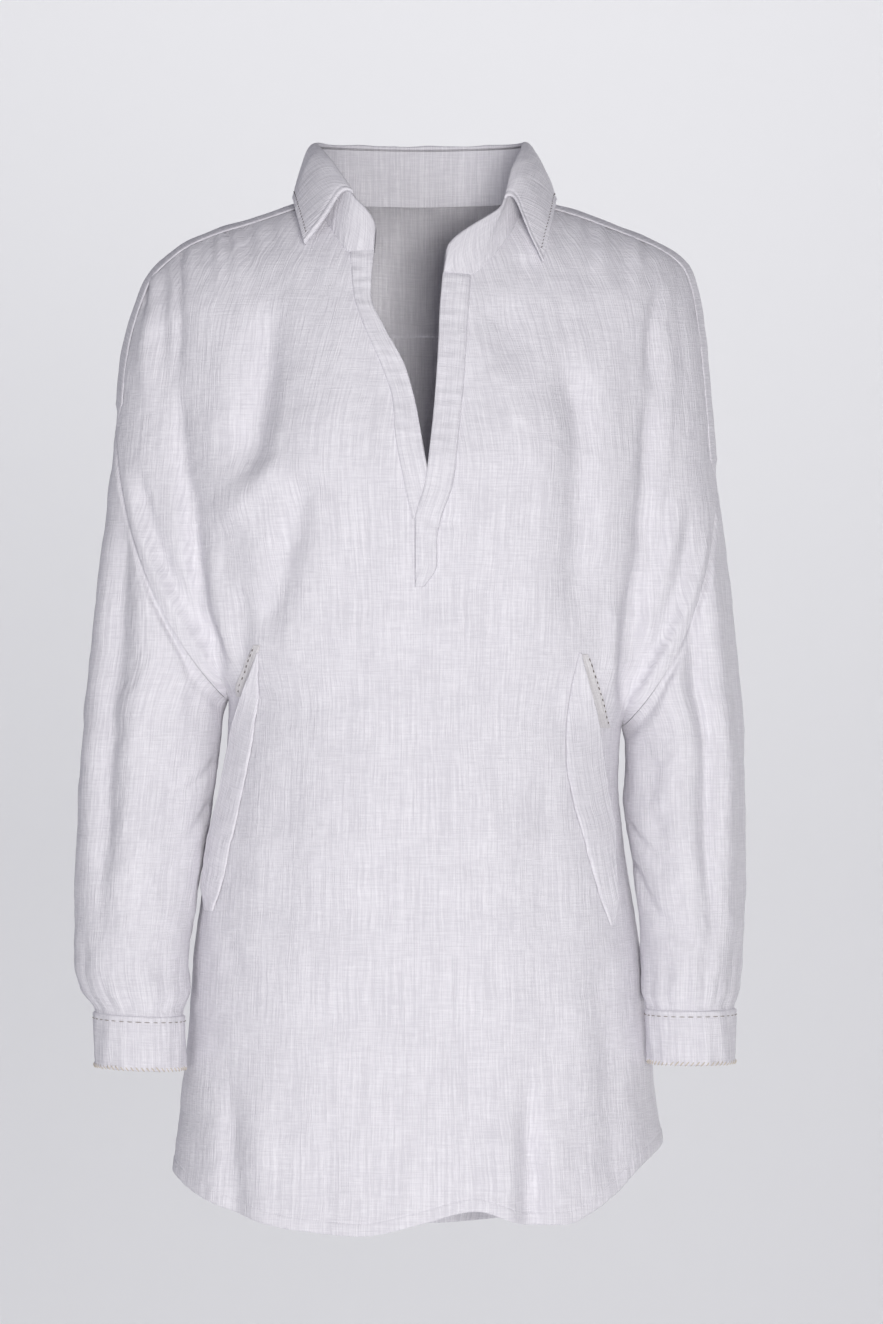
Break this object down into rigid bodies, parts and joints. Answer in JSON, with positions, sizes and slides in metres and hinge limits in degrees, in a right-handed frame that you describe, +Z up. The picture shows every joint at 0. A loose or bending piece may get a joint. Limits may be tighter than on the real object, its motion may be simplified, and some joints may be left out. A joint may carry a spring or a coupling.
{
  "type": "tunic top",
  "caption": "Long-sleeved linen tunic top with spread collar, open half placket, yoke, plain cuffs, curved hip pockets and rounded shirt-tail hem, in its worn hollow form",
  "frame": {"origin": "on the centre line of the garment, at the height of the shoulders beside the neck, where the wearer's shoulders hold it up", "axes": "+Z up, the front faces -Y, +X to the wearer's left"},
  "size_m": [0.5229, 0.2399, 0.8649],
  "materials": {
    "linen": "plain weave white linen with fine slubs, soft and matt",
    "linen_facing": "the same white linen, in the pocket mouth"
  },
  "bodies": {
    "root": {"front": "linen", "back": "linen", "yoke": "linen", "sleeve_right": "linen", "sleeve_left": "linen", "cuff_right": "linen", "cuff_left": "linen", "collar_stand": "linen", "collar": "linen", "placket_right": "linen", "placket_left": "linen", "pocket_welt_right": "linen", "pocket_welt_left": "linen", "pocket_facing_right": "linen_facing", "pocket_facing_left": "linen_facing"}
  },
  "joints": []
}
